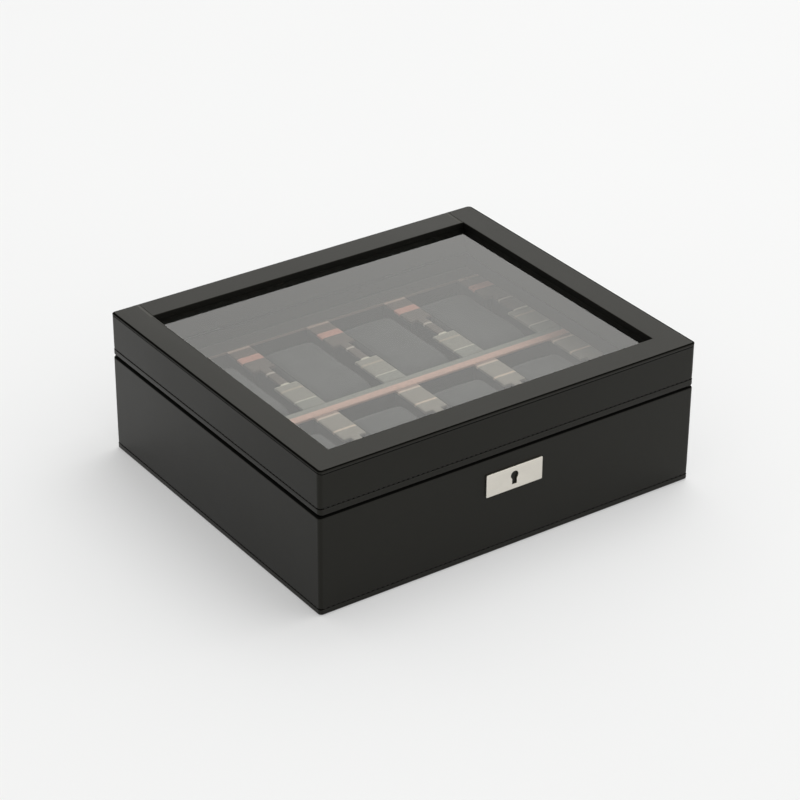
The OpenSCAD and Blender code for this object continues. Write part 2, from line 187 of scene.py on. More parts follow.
# Each stripe's lowest Y in mm, and its colour
STRIPES = [
    (-120, (0.030, 0.022, 0.017)),
    (-89.6, (0.28, 0.22, 0.18)),
    (-88.2, (0.080, 0.052, 0.038)),
    (-77.0, (0.42, 0.20, 0.155)),
    (-71.0, (0.075, 0.050, 0.038)),
    (-61.0, (0.18, 0.15, 0.135)),
    (-45.0, (0.42, 0.36, 0.30)),
    (-43.6, (0.190, 0.165, 0.142)),
    (-27.6, (0.46, 0.36, 0.29)),
    (-25.8, (0.190, 0.164, 0.140)),
    (-10.8, (0.44, 0.34, 0.28)),
    (-9.0, (0.21, 0.13, 0.105)),
    (-6.4, (0.46, 0.275, 0.225)),
    (-0.2, (0.165, 0.158, 0.138)),
    (13.4, (0.42, 0.39, 0.33)),
    (14.8, (0.180, 0.163, 0.139)),
    (27.6, (0.29, 0.235, 0.185)),
    (29.2, (0.190, 0.172, 0.146)),
    (35.4, (0.46, 0.42, 0.35)),
    (37.2, (0.070, 0.050, 0.040)),
    (51.4, (0.34, 0.29, 0.25)),
    (52.8, (0.070, 0.050, 0.040)),
    (70.6, (0.44, 0.205, 0.16)),
    (77.2, (0.075, 0.046, 0.034)),
    (86.4, (0.155, 0.104, 0.086)),
    (89.4, (0.026, 0.021, 0.016)),
    (101.2, (0.080, 0.068, 0.060)),
    (102.6, (0.026, 0.021, 0.016)),
]
STRIPE_SPAN = 240.0                          # mm that the colour ramp covers, centred on Y = 0
EDGE_STRIPE_Y, EDGE_STRIPE_HALF = 0.0879, 0.0016    # the stripe at the edge of the back ledge
THREAD_PITCH = 0.42 * MM


def stripe_material():
    """Woven fabric whose stripes run along X."""
    n = Nodes("striped_fabric")
    at = n.add("TexCoord").outputs["Object"]
    axes = n.add("SeparateXYZ", {"Vector": at})
    wander = n.add("TexNoise", {"Vector": at}, Scale=700.0, Detail=1.0).outputs["Fac"]
    shift = n.math("MULTIPLY", n.math("SUBTRACT", wander, 0.5), 0.0005)
    y = n.math("ADD", axes.outputs["Y"], shift)
    place = n.math("ADD", n.math("MULTIPLY", y, 1000.0 / STRIPE_SPAN), 0.5)
    stops = [(edge / STRIPE_SPAN + 0.5, colour) for edge, colour in STRIPES]
    stripes = n.ramp(place, stops, "CONSTANT")
    threads = 2 * math.pi / THREAD_PITCH
    warp = n.math("SINE", n.math("MULTIPLY", axes.outputs["X"], threads))
    weft = n.math("SINE", n.math("MULTIPLY", axes.outputs["Y"], threads))
    rows = n.math("SINE", n.math("MULTIPLY", axes.outputs["Z"], threads))
    weave = n.math("MULTIPLY", n.math("ADD", n.math("MULTIPLY", warp, weft), rows), 0.35)
    slub = n.add("TexNoise", {"Vector": at}, Scale=420.0, Detail=3.0).outputs["Fac"]
    shade = n.math("ADD", n.math("MULTIPLY", weave, 0.22),
                   n.math("ADD", 0.67, n.math("MULTIPLY", slub, 0.5)))
    # that stripe is strongest where it crosses the dividers' ends
    wave = n.math("COSINE", n.math("MULTIPLY", axes.outputs["X"], 2 * math.pi / PITCH))
    lift = n.math("SUBTRACT", n.math("MULTIPLY", n.math("GREATER_THAN", wave, 0.66), 1.9), 0.35)
    at_edge = n.math("COMPARE", y, EDGE_STRIPE_Y, EDGE_STRIPE_HALF)
    shade = n.math("MULTIPLY", shade, n.math("ADD", 1.0, n.math("MULTIPLY", lift, at_edge)))
    grey = n.add("CombineColor", {"Red": shade, "Green": shade, "Blue": shade}).outputs[0]
    colour = n.mix(1.0, stripes, grey, "MULTIPLY")
    normal = n.bump(n.math("ADD", weave, slub), 0.5, 0.10 * MM)
    return n.finish(n.add(
        "BsdfPrincipled", {"Base Color": colour, "Normal": normal}, Roughness=0.75,
        Specular_IOR_Level=0.25, Sheen_Weight=0.15, Sheen_Roughness=0.5))


def suede_material(name, dark, light, sheen=0.25):
    """Short-napped suede: clouded where the nap lies different ways."""
    n = Nodes(name)
    at = n.add("TexCoord").outputs["Object"]
    nap = n.add("TexNoise", {"Vector": at}, Scale=110.0, Detail=5.0, Roughness=0.65).outputs["Fac"]
    fibre = n.add("TexNoise", {"Vector": at}, Scale=3200.0, Detail=2.0).outputs["Fac"]
    blend = n.math("ADD", n.math("MULTIPLY", nap, 0.85), n.math("MULTIPLY", fibre, 0.15))
    colour = n.ramp(blend, [(0.35, dark), (0.68, light)])
    rough = n.math("ADD", 0.82, n.math("MULTIPLY", nap, 0.14))
    normal = n.bump(fibre, 0.15, 0.04 * MM, n.bump(nap, 0.15, 0.3 * MM))
    return n.finish(n.add(
        "BsdfPrincipled", {"Base Color": colour, "Roughness": rough, "Normal": normal},
        Specular_IOR_Level=0.15, Sheen_Weight=sheen, Sheen_Roughness=0.4))


def metal_material(name, colour, roughness, brush_axis):
    """Plated metal, brushed along X (0) or Y (1), with faint rubbing."""
    n = Nodes(name)
    at = n.add("TexCoord").outputs["Object"]
    stretch = [2600.0, 2600.0, 2600.0]
    stretch[brush_axis] = 45.0
    lines = n.add("Mapping", {"Vector": at}, Scale=tuple(stretch)).outputs[0]
    brush = n.add("TexNoise", {"Vector": lines}, Scale=1.0, Detail=3.0).outputs["Fac"]
    rub = n.add("TexNoise", {"Vector": at}, Scale=90.0, Detail=4.0).outputs["Fac"]
    tint = n.mix(brush, tuple(0.90 * c for c in colour), colour)
    rough = n.math("ADD", roughness - 0.08,
                   n.math("ADD", n.math("MULTIPLY", brush, 0.10), n.math("MULTIPLY", rub, 0.08)))
    normal = n.bump(brush, 0.12, 0.02 * MM)
    return n.finish(n.add(
        "BsdfPrincipled", {"Base Color": tint, "Roughness": rough, "Normal": normal},
        Metallic=1.0, Anisotropic=0.4))


def board_material(name, dark, light):
    """Fibreboard, with its flecks."""
    n = Nodes(name)
    at = n.add("TexCoord").outputs["Object"]
    fleck = n.add("TexNoise", {"Vector": at}, Scale=1400.0, Detail=4.0, Roughness=0.7).outputs["Fac"]
    colour = n.ramp(fleck, [(0.3, dark), (0.7, light)])
    normal = n.bump(fleck, 0.3, 0.08 * MM)
    return n.finish(n.add("BsdfPrincipled", {"Base Color": colour, "Normal": normal},
                          Roughness=0.85))


def glass_material():
    """A clear pane: its front faces mirror for both faces, and light passes straight through."""
    n = Nodes("clear_glass")
    once = n.add("Fresnel", IOR=1.5).outputs[0]
    front = n.math("SUBTRACT", 1.0, n.add("NewGeometry").outputs["Backfacing"])
    mirrored = n.math("MULTIPLY", n.math("MULTIPLY", once, 1.6, clamp=True), front)
    clear = n.add("BsdfTransparent", Color=(0.985, 0.995, 0.985, 1))
    gloss = n.add("BsdfGlossy", Color=(1, 1, 1, 1), Roughness=0.0)
    mixed = n.add("MixShader", {0: mirrored, 1: clear.outputs[0], 2: gloss.outputs[0]})
    return n.finish(mixed)


def thread_material():
    """Waxed black thread, twisted."""
    n = Nodes("black_thread")
    at = n.add("TexCoord").outputs["Object"]
    twist = n.add("TexNoise", {"Vector": at}, Scale=2400.0, Detail=2.0).outputs["Fac"]
    colour = n.ramp(twist, [(0.3, (0.006, 0.006, 0.006)), (0.8, (0.022, 0.021, 0.020))])
    normal = n.bump(twist, 0.4, 0.05 * MM)
    return n.finish(n.add("BsdfPrincipled", {"Base Color": colour, "Normal": normal},
                          Roughness=0.5, Specular_IOR_Level=0.35))


def floor_material():
    """A pale, matt studio sweep, lit a little from below so that shadows stay soft."""
    n = Nodes("studio_floor")
    at = n.add("TexCoord").outputs["Object"]
    faint = n.add("TexNoise", {"Vector": at}, Scale=3.0, Detail=2.0).outputs["Fac"]
    colour = n.ramp(faint, [(0.0, (0.55, 0.555, 0.565)), (1.0, (0.565, 0.57, 0.58))])
    return n.finish(n.add(
        "BsdfPrincipled", {"Base Color": colour}, Roughness=0.9, Specular_IOR_Level=0.1,
        Emission_Color=(1.0, 1.0, 1.0, 1.0), Emission_Strength=0.31))


leather = leather_material("black_leather")
# a lighter, shinier copy of the leather: a painted highlight where the light catches the slopes of the joints
painted_highlight_leather = leather_material("painted_highlight_leather", 5.5, 0.46, 0.30)
matt_leather = leather_material("matt_leather", 0.6, 0.58, 0.12)
# a darker, unshiny copy of the leather: painted shade in the gaps, grooves and crease of the covers
painted_shade_leather = leather_material("dark_edge_leather", 0.4, 0.70, 0.02)
fabric = stripe_material()
lining = suede_material("lining_suede", (0.026, 0.026, 0.0235), (0.036, 0.0355, 0.032), 0.06)
pillow_suede = suede_material("pillow_suede", (0.040, 0.040, 0.0405), (0.062, 0.062, 0.062), 0.08)
pad_suede = suede_material("underside_suede", (0.010, 0.010, 0.010), (0.020, 0.020, 0.020))
nickel = metal_material("satin_nickel", (0.75, 0.715, 0.645), 0.34, 0)
lock_steel = metal_material("lock_steel", (0.60, 0.59, 0.57), 0.36, 0)
hinge_steel = metal_material("hinge_steel", (0.62, 0.61, 0.59), 0.28, 0)
board = board_material("fibreboard", (0.23, 0.15, 0.085), (0.40, 0.28, 0.17))
stained_board = board_material("stained_fibreboard", (0.008, 0.007, 0.006), (0.016, 0.014, 0.012))
glass = glass_material()
thread = thread_material()

for name, node in frame["nodes"].items():
    slot_name = next(s["material_slot"] for s in frame["record"]["subparts"] if s["node"] == name)
    chosen = {
        "leather": leather, "striped_fabric": fabric, "pillow_suede": pillow_suede,
        "lining": lining, "underside_suede": pad_suede, "board": board, "glass": glass,
        "satin_nickel": nickel, "lock_steel": lock_steel, "hinge_steel": hinge_steel,
    }[slot_name]
    if name.startswith("lid_") and chosen is board:
        chosen = stained_board               # it shows through the rim of the glass
    node.data.materials.clear()
    node.data.materials.append(chosen)


# ---- Mesh helpers ----

def make_object(name, vertices, faces, material, body, slot, sharp=40.0):
    mesh = bpy.data.meshes.new(name)
    mesh.from_pydata([tuple(v) for v in vertices], [], faces)
    mesh.update()
    return place(name, mesh, material, body, slot, sharp)


def place(name, mesh, material, body, slot, sharp=40.0):
    """Links a mesh as a piece that rides on a body; sharp is the angle that stays a crease."""
    mesh.name = name
    for polygon in mesh.polygons:
        polygon.use_smooth = True
    if sharp is not None:
        mesh.set_sharp_from_angle(angle=math.radians(sharp))
    obj = bpy.data.objects.new(name, mesh)
    bpy.context.scene.collection.objects.link(obj)
    mesh.materials.append(material)
    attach(obj, body)
    return obj


def arc(centre, radius, start, end, steps):
    """Points on an arc, angles in degrees."""
    angles = [math.radians(start + (end - start) * i / steps) for i in range(steps + 1)]
    return [(centre[0] + radius * math.cos(a), centre[1] + radius * math.sin(a)) for a in angles]


def rounded_rectangle(half_w, half_d, radius, steps=8):
    """Anticlockwise points of a rectangle with round corners."""
    points = []
    for start, sx, sy in ((0, 1, 1), (90, -1, 1), (180, -1, -1), (270, 1, -1)):
        centre = (sx * (half_w - radius), sy * (half_d - radius))
        points += arc(centre, radius, start, start + 90, steps)
    return points


def rings(*points, finish=0):
    """Profile points that are the same all round. Each is an inset from the outside and a height."""
    return [(point, point, finish) for point in points]


def sweep(name, half_w, half_d, corner_r, profile, materials, body, slot):
    """Sweeps a closed profile round a rectangle. Each ring has its point at the front and back, its
    point at the left and right, and the number of the material that starts there."""
    steps = 8
    loops = []
    for (inset, z), (side_inset, side_z), finish in profile:
        radius = max(corner_r - (inset + side_inset) / 2, 0.05 * MM)
        plan = rounded_rectangle(half_w - side_inset, half_d - inset, radius, steps)
        loop = []
        for k, (x, y) in enumerate(plan):
            corner, step = divmod(k, steps + 1)
            facing = math.cos(math.radians(90 * (corner + step / steps))) ** 2
            loop.append(Vector((x, y, z + (side_z - z) * facing)))
        loops.append(loop)
    around = len(loops[0])
    vertices = [v for loop in loops for v in loop]
    faces = []
    for i in range(len(loops)):
        j = (i + 1) % len(loops)
        for k in range(around):
            m = (k + 1) % around
            faces.append((i * around + k, i * around + m, j * around + m, j * around + k))
    obj = make_object(name, vertices, faces, materials[0], body, slot)
    for material in materials[1:]:
        obj.data.materials.append(material)
    for polygon in obj.data.polygons:
        polygon.material_index = profile[polygon.index // around][2]
    outward(obj)
    return obj


def outward(obj):
    """Turns all faces to point out."""
    bm = bmesh.new()
    bm.from_mesh(obj.data)
    bmesh.ops.recalc_face_normals(bm, faces=bm.faces)
    bm.to_mesh(obj.data)
    bm.free()


def cut_away(obj, cutters):
    """Cuts closed meshes out of obj and removes them."""
    for cutter in cutters:
        modifier = obj.modifiers.new("cut", "BOOLEAN")
        modifier.operation = "DIFFERENCE"
        modifier.solver = "EXACT"
        modifier.object = cutter
    graph = bpy.context.evaluated_depsgraph_get()
    graph.update()
    baked = bpy.data.meshes.new_from_object(obj.evaluated_get(graph))
    obj.modifiers.clear()
    old = obj.data
    obj.data = baked
    baked.name = old.name
    bpy.data.meshes.remove(old)
    for cutter in cutters:
        bpy.data.meshes.remove(cutter.data)
    bm = bmesh.new()
    bm.from_mesh(obj.data)
    bmesh.ops.remove_doubles(bm, verts=bm.verts, dist=1e-6)
    bm.to_mesh(obj.data)
    bm.free()
    obj.data.set_sharp_from_angle(angle=math.radians(40))


def cutter_from(bm, name):
    bmesh.ops.recalc_face_normals(bm, faces=bm.faces)
    mesh = bpy.data.meshes.new(name)
    bm.to_mesh(mesh)
    bm.free()
    obj = bpy.data.objects.new(name, mesh)
    bpy.context.scene.collection.objects.link(obj)
    return obj


def block_cutter(low, high):
    bm = bmesh.new()
    size = Vector(high) - Vector(low)
    middle = (Vector(high) + Vector(low)) / 2
    bmesh.ops.create_cube(bm, size=1.0, matrix=Matrix.Translation(middle) @ Matrix.Diagonal((*size, 1)))
    return cutter_from(bm, "cutter")


def rod_cutter(low, high, radius):
    """A cylinder from low to high."""
    bm = bmesh.new()
    along = Vector(high) - Vector(low)
    turn = along.to_track_quat("Z", "Y").to_matrix().to_4x4()
    matrix = Matrix.Translation((Vector(low) + Vector(high)) / 2) @ turn
    bmesh.ops.create_cone(bm, cap_ends=True, segments=40, radius1=radius, radius2=radius,
                          depth=along.length, matrix=matrix)
    return cutter_from(bm, "cutter")


# ---- Stitching ----

STITCH, STITCH_GAP, THREAD_R = 2.5 * MM, 0.75 * MM, 0.24 * MM
STITCH_TILT = 0.05                           # rise over run


def stitch_line(name, corner_r, z, depth, body):
    """Thread round a box at height z: one capsule for each stitch, sunk in its groove."""
    vertices, faces = [], []
    inset = depth - 0.10 * MM
    corners = [(HALF_W, -HALF_D), (HALF_W, HALF_D), (-HALF_W, HALF_D), (-HALF_W, -HALF_D)]
    for i, start in enumerate(corners):
        a, b = Vector((*start, 0)), Vector((*corners[(i + 1) % 4], 0))
        along = (b - a).normalized()
        out = Vector((along.y, -along.x, 0))
        run = (b - a).length - 2 * corner_r
        count = int(run / (STITCH + STITCH_GAP))
        pitch = run / count
        for k in range(count):
            middle = a + along * (corner_r + pitch * (k + 0.5)) - out * inset
            middle.z = z + random.uniform(-0.03, 0.03) * MM
            axis = (along + Vector((0, 0, STITCH_TILT))).normalized()
            capsule(vertices, faces, middle, axis, out, (pitch - STITCH_GAP) / 2, THREAD_R)
    return make_object(name, vertices, faces, thread, body, "leather", sharp=None)


def capsule(vertices, faces, middle, axis, out, half, radius, around=7):
    """Adds a stitch: a thread that dives into the leather at both ends."""
    side = axis.cross(out).normalized()
    # place along the stitch, thickness and height of each ring
    shape = [(-1.0, 0.15, -1.1), (-0.86, 0.75, -0.35), (-0.5, 1.0, 0.0), (0.5, 1.0, 0.0),
             (0.86, 0.75, -0.35), (1.0, 0.15, -1.1)]
    base = len(vertices)
    for t, scale, dip in shape:
        centre = middle + axis * (t * half) + out * (dip * radius)
        for k in range(around):
            angle = 2 * math.pi * k / around
            spoke = out * math.cos(angle) + side * math.sin(angle)
            vertices.append(centre + spoke * radius * scale)
    for i in range(len(shape) - 1):
        for k in range(around):
            m = (k + 1) % around
            faces.append((base + i * around + k, base + i * around + m,
                          base + (i + 1) * around + m, base + (i + 1) * around + k))
    faces.append(tuple(base + k for k in reversed(range(around))))
    faces.append(tuple(base + (len(shape) - 1) * around + k for k in range(around)))


# ---- Leather covers ----

GROOVE_DEPTH = 0.55 * MM
GROOVE_WIDTH = 0.9 * MM
SWELL = 0.22 * MM                            # how far the main face lies behind the hem
PLAIN, DARK, PAINTED_HIGHLIGHT, MATT = 0, 1, 2, 3         # the leather's finishes: plain, painted shade, painted highlight and matt

# In mm: inset and depth below the rim at the front and back, then at the left and right. The outer
# edge is drawn in, and darkened with painted shade.
RIM_EDGE = (
    (1.05, 0.00, 1.15, 0.00, PLAIN),
    (0.78, 0.06, 0.88, 0.05, DARK),
    (0.60, 0.22, 0.66, 0.22, DARK),
    (0.48, 0.46, 0.50, 0.56, DARK),
    (0.34, 0.72, 0.36, 0.92, DARK),
    (0.16, 0.92, 0.16, 1.14, PLAIN),
    (0.04, 1.04, 0.04, 1.28, PLAIN),
    (0.00, 1.30, 0.00, 1.60, PLAIN),
    (0.00, 1.90, 0.00, 2.10, PLAIN),
)
# The same above the lid's lower edge, which is folded under and darkened with painted shade.
LID_FOOT = (
    (0.50, 0.00, 1.30, 0.00, DARK),
    (0.37, 0.02, 0.95, 0.06, DARK),
    (0.25, 0.07, 0.66, 0.20, DARK),
    (0.15, 0.15, 0.42, 0.42, DARK),
    (0.07, 0.25, 0.24, 0.68, DARK),
    (0.02, 0.37, 0.11, 0.94, PLAIN),
    (0.00, 0.50, 0.04, 1.20, PLAIN),
)
# The same below the lid's top.
LID_EDGE = (
    (0.12, 3.40, 0.12, 3.20, PLAIN),
    (0.10, 2.40, 0.10, 1.62, DARK),          # a crease, darkened with painted shade
    (0.50, 2.32, 0.50, 1.54, DARK),
    (0.50, 2.00, 0.50, 1.10, DARK),
    (0.12, 1.92, 0.12, 1.02, PLAIN),         # a rolled edge
    (0.00, 1.50, 0.00, 0.92, PLAIN),
    (0.00, 0.90, 0.00, 0.70, PLAIN),
    (0.05, 0.58, 0.05, 0.50, PLAIN),
    (0.20, 0.42, 0.20, 0.40, DARK),          # a gap in painted shade, up to the bevelled top panel
    (0.62, 0.52, 0.62, 0.70, DARK),
    (0.75, 0.54, 0.78, 0.72, DARK),
    (1.10, 0.06, 1.42, 0.06, PLAIN),
    (1.22, 0.01, 1.55, 0.01, PLAIN),
    (1.50, 0.00, 1.80, 0.00, PLAIN),
    (2.30, 0.00, 2.60, 0.00, PLAIN),
)


def groove(z, way, steps=6):
    """The seam's soft groove at height z, going up (way 1) or down (way -1), with painted shade inside it."""
    found = []
    for i in range(steps + 1):
        t = i / steps if way > 0 else 1 - i / steps
        inset = GROOVE_DEPTH * math.sin(math.pi * t) ** 1.5 + SWELL * t
        found += rings((inset, z + GROOVE_WIDTH * (t - 0.5)),
                       finish=DARK if 0 < i < steps - 1 else PLAIN)
    return found


def table_rings(table, z, way):
    """Rings from a table of insets and distances from height z, upwards (way 1) or down (-1)."""
    return [((inset * MM, z + way * far * MM), (side_inset * MM, z + way * side_far * MM), finish)
            for inset, far, side_inset, side_far, finish in table]


def base_leather():
    z0 = COVER_LO.z
    seam = z0 + BASE_SEAM_UP
    profile = rings(
        (WALL, RIM_Z - LEATHER), (WALL, RIM_Z - 0.35 * MM), (WALL - 0.12 * MM, RIM_Z - 0.09 * MM),
        (WALL - 0.4 * MM, RIM_Z), (WALL / 2, RIM_Z), (1.6 * MM, RIM_Z))
    profile += table_rings(RIM_EDGE, RIM_Z, -1)
    profile += rings((0.03 * MM, RIM_Z - 4 * MM), (0.05 * MM, RIM_Z / 2), (0.10 * MM, seam + 6 * MM))
    profile += groove(seam, -1)
    profile += rings((0.05 * MM, seam - 1.2 * MM))
    profile += rings(*arc((EDGE_R, z0 + EDGE_R), EDGE_R, 180, 270, 6))
    profile += rings((TURN_IN, z0), (TURN_IN, z0 + LEATHER), (LEATHER, z0 + LEATHER),
                     (LEATHER, RIM_Z - LEATHER))
    obj = sweep("base_leather", HALF_W, HALF_D, BASE_CORNER_R, profile,
                (leather, painted_shade_leather), "base", "leather")
    cutters = hinge_cutters("base") + [block_cutter(
        (SELVAGE_LO.x, SELVAGE_LO.y, RIM_Z - 1.0 * MM), (SELVAGE_HI.x, SELVAGE_HI.y, RIM_Z + MM))]
    cut_away(obj, cutters)
    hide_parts("base_cover")
    stitch_line("base_stitching", BASE_CORNER_R, seam, GROOVE_DEPTH + SWELL / 2, "base")


def lid_leather():
    seam = LID_Z + SEAM_UP
    inner_r = 0.5 * MM
    lip = arc((FRAME_W - inner_r, TOP_Z - inner_r), inner_r, 90, 0, 6)
    profile = rings((WALL, LID_Z + LEATHER), (WALL, LID_Z + 0.3 * MM), (WALL - 0.4 * MM, LID_Z))
    profile += table_rings(LID_FOOT, LID_Z, 1)
    profile += rings((0.05 * MM, seam - 1.2 * MM)) + groove(seam, 1)
    profile += rings((0.12 * MM, seam + 5 * MM))
    profile += table_rings(LID_EDGE, TOP_Z, -1)
    profile += rings((FRAME_W - 1.4 * MM, TOP_Z), (FRAME_W - 0.8 * MM, TOP_Z), *lip[:2])
    profile += rings(*lip[2:], finish=MATT)
    profile += rings((FRAME_W, GLASS_HI.z), (FRAME_W - LEATHER, GLASS_HI.z),
                     (FRAME_W - LEATHER, TOP_Z - LEATHER), (LEATHER + 0.2 * MM, TOP_Z - LEATHER),
                     (LEATHER + 0.2 * MM, LID_Z + LEATHER))
    obj = sweep("lid_leather", HALF_W, HALF_D, LID_CORNER_R, profile,
                (leather, painted_shade_leather, painted_highlight_leather, matt_leather), "lid", "leather")
    cutters = hinge_cutters("lid") + [block_cutter(
        (STRIKE_LO.x, STRIKE_LO.y, LID_Z - MM), (STRIKE_HI.x, STRIKE_HI.y, LID_Z + 1.0 * MM))]
    cutters += joint_cutters()
    cut_away(obj, cutters)
    for polygon in obj.data.polygons:
        inset = min(HALF_W - abs(polygon.center.x), HALF_D - abs(polygon.center.y))
        near_top = polygon.center.z > TOP_Z - 0.5 * MM
        if near_top and inset > 2 * MM and 0.03 < polygon.normal.x < 0.5:
            polygon.material_index = PAINTED_HIGHLIGHT    # painted highlight on the slope of a joint
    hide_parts("lid_cover")
    stitch_line("lid_stitching", LID_CORNER_R, seam, GROOVE_DEPTH + SWELL / 2, "lid")


def joint_cutters():
    """Where the side strips of the top run out at the back, each dips under the back strip."""
    width, depth = 2.2 * MM, 0.20 * MM
    near, far = HALF_D - FRAME_W - MM, HALF_D + MM
    found = []
    for side in (-1, 1):
        x = side * (HALF_W - FRAME_W)
        bm = bmesh.new()
        ends = []
        for y, slant in ((near, 0.0), (far, 0.8 * MM)):
            ends.append([bm.verts.new(v) for v in (
                (x + slant - width, y, TOP_Z + 0.02 * MM), (x + slant, y, TOP_Z - depth),
                (x + slant, y, TOP_Z + 0.02 * MM))])
        for i in range(3):
            j = (i + 1) % 3
            bm.faces.new((ends[0][i], ends[0][j], ends[1][j], ends[1][i]))
        bm.faces.new(ends[0])
        bm.faces.new(list(reversed(ends[1])))
        found.append(cutter_from(bm, "cutter"))
    return found


def hinge_cutters(body):
    """Room for the leaves and knuckles, as in the CAD cover."""
    axis = Vector(next(j["pos_m"] for j in frame["joints"] if j["name"] == "lid_hinge"))
    z_low, z_high = (RIM_Z - MM, RIM_Z + MM) if body == "base" else (LID_Z - MM, LID_Z + MM)
    found = []
    for side in ("left", "right"):
        low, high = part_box(f"{side}_hinge_{body}_leaf")
        found.append(block_cutter((low.x, low.y, z_low), (high.x, axis.y, z_high)))
        found.append(rod_cutter((low.x - 0.3 * MM, axis.y, axis.z),
                                (high.x + 0.3 * MM, axis.y, axis.z), KNUCKLE_ROOM))
    return found


# ---- Fabric-covered ledges and dividers ----

def inset_outline(corners, inset, radius, steps=4):
    """Moves the sides of an anticlockwise outline inwards and rounds its corners again."""
    count = len(corners)
    moved, turns = [], []
    for i, corner in enumerate(corners):
        before = (corner - corners[i - 1]).normalized()
        after = (corners[(i + 1) % count] - corner).normalized()
        moved.append(corner + (Vector((-before.y, before.x)) + Vector((-after.y, after.x))) * inset)
        turns.append(before.cross(after) > 0)
    points = []
    for i, here in enumerate(moved):
        before = (moved[i - 1] - here).normalized()
        after = (moved[(i + 1) % count] - here).normalized()
        bend = max(radius - inset, 0.05 * MM) if turns[i] else radius + inset
        start, end = here + before * bend, here + after * bend
        centre = here + (before + after) * bend
        for k in range(steps + 1):
            point = start.lerp(end, k / steps) - centre
            points.append(centre + point.normalized() * bend)
    return points


def wrapped_block(name, corners, node, plan_r=0.5 * MM):
    """A ledge or divider: suede walls and a striped fabric top that turns down over the edge."""
    edge_r = 0.7 * MM
    hem = 1.7 * MM
    corners = [Vector(c) for c in corners]
    levels = [(0.25 * MM, TRAY_Z), (0.25 * MM, DECK_Z - hem - 0.25 * MM), (0.05 * MM, DECK_Z - hem)]
    for angle in range(0, 91, 15):
        a = math.radians(angle)
        levels.append((edge_r * (1 - math.cos(a)) + 0.04 * MM,
                       DECK_Z - 0.12 * MM - edge_r * (1 - math.sin(a))))
    levels.append((edge_r + 0.9 * MM, DECK_Z - 0.03 * MM))
    levels.append((edge_r + 1.6 * MM, DECK_Z - 0.005 * MM))
    vertices, faces, kinds = [], [], []
    for inset, z in levels:
        vertices += [Vector((p.x, p.y, z)) for p in inset_outline(corners, inset, plan_r)]
    around = len(vertices) // len(levels)
    for i in range(len(levels) - 1):
        for k in range(around):
            m = (k + 1) % around
            faces.append((i * around + k, i * around + m, (i + 1) * around + m, (i + 1) * around + k))
            kinds.append(0 if i < 2 else 1)
    faces.append(tuple(reversed(range(around))))
    kinds.append(0)
    faces.append(tuple((len(levels) - 1) * around + k for k in range(around)))
    kinds.append(1)
    obj = make_object(name, vertices, faces, pillow_suede, "base", "striped_fabric", sharp=50.0)
    obj.data.materials.append(fabric)
    for polygon, kind in zip(obj.data.polygons, kinds):
        polygon.material_index = kind
    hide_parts(node)


def tray():
    """All the ledges and dividers, from the sizes of their CAD nodes."""
    for name in ("front_ledge", "rear_ledge", "middle_divider"):
        low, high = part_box(name)
        corners = [(low.x, low.y), (high.x, low.y), (high.x, high.y), (low.x, high.y)]
        wrapped_block(name + "_wrapped", corners, name)
    near, far = NOTCH_Y
    for row, sign in (("front", -1), ("rear", 1)):
        for i in (1, 2, 3):
            name = f"{row}_divider_{i}"
            low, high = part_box(name)
            ys = sorted((sign * near, sign * far))
            left = [(low.x, high.y), (low.x, ys[1]), (low.x + NOTCH_DEEP, ys[1]),
                    (low.x + NOTCH_DEEP, ys[0]), (low.x, ys[0]), (low.x, low.y)]
            right = [(low.x + high.x - x, y) for x, y in reversed(left)]
            wrapped_block(name + "_wrapped", left + right, name)
    for side, sign in (("left", -1), ("right", 1)):
        low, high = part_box(f"{side}_ledge")
        for row, way in (("front", -1), ("rear", 1)):
            ys = sorted((way * near, way * far))
            y_low, y_high = (low.y, -MIDDLE_HI.y) if way < 0 else (MIDDLE_HI.y, high.y)
            inner = high.x if sign < 0 else low.x
            outer = low.x if sign < 0 else high.x
            step = inner + sign * NOTCH_DEEP
            corners = [(outer, y_low), (inner, y_low), (inner, ys[0]), (step, ys[0]),
                       (step, ys[1]), (inner, ys[1]), (inner, y_high), (outer, y_high)]
            if sign > 0:
                corners = list(reversed(corners))
            wrapped_block(f"{row}_{side}_ledge_wrapped", corners, f"{side}_ledge")


# ---- Pillows ----

def pillow_cage(half, end_r, bulge):
    """A closed pillow form, round in side view, with its flat gussets facing left and right."""
    bm = bmesh.new()
    outline = rounded_rectangle(half.y, half.z, end_r, 7)
    xs = [-1.0, -0.93, -0.6, -0.2, 0.2, 0.6, 0.93, 1.0]
    rings = []
    for t in xs:
        shrink = 1.3 * MM if abs(t) == 1.0 else 0.0
        crown = bulge * (1 - t * t)
        ring = []
        for y, z in outline:
            out = Vector((y, z)).normalized()
            ring.append(bm.verts.new((t * half.x, y - out.x * (shrink - crown),
                                      z - out.y * (shrink - crown))))
        rings.append(ring)
    count = len(outline)
    for a, b in zip(rings, rings[1:]):
        for k in range(count):
            bm.faces.new((a[k], a[(k + 1) % count], b[(k + 1) % count], b[k]))
    bm.faces.new(list(reversed(rings[0])))
    bm.faces.new(rings[-1])
    bmesh.ops.recalc_face_normals(bm, faces=bm.faces)
    mesh = bpy.data.meshes.new("pillow_cage")
    bm.to_mesh(mesh)
    bm.free()
    return mesh


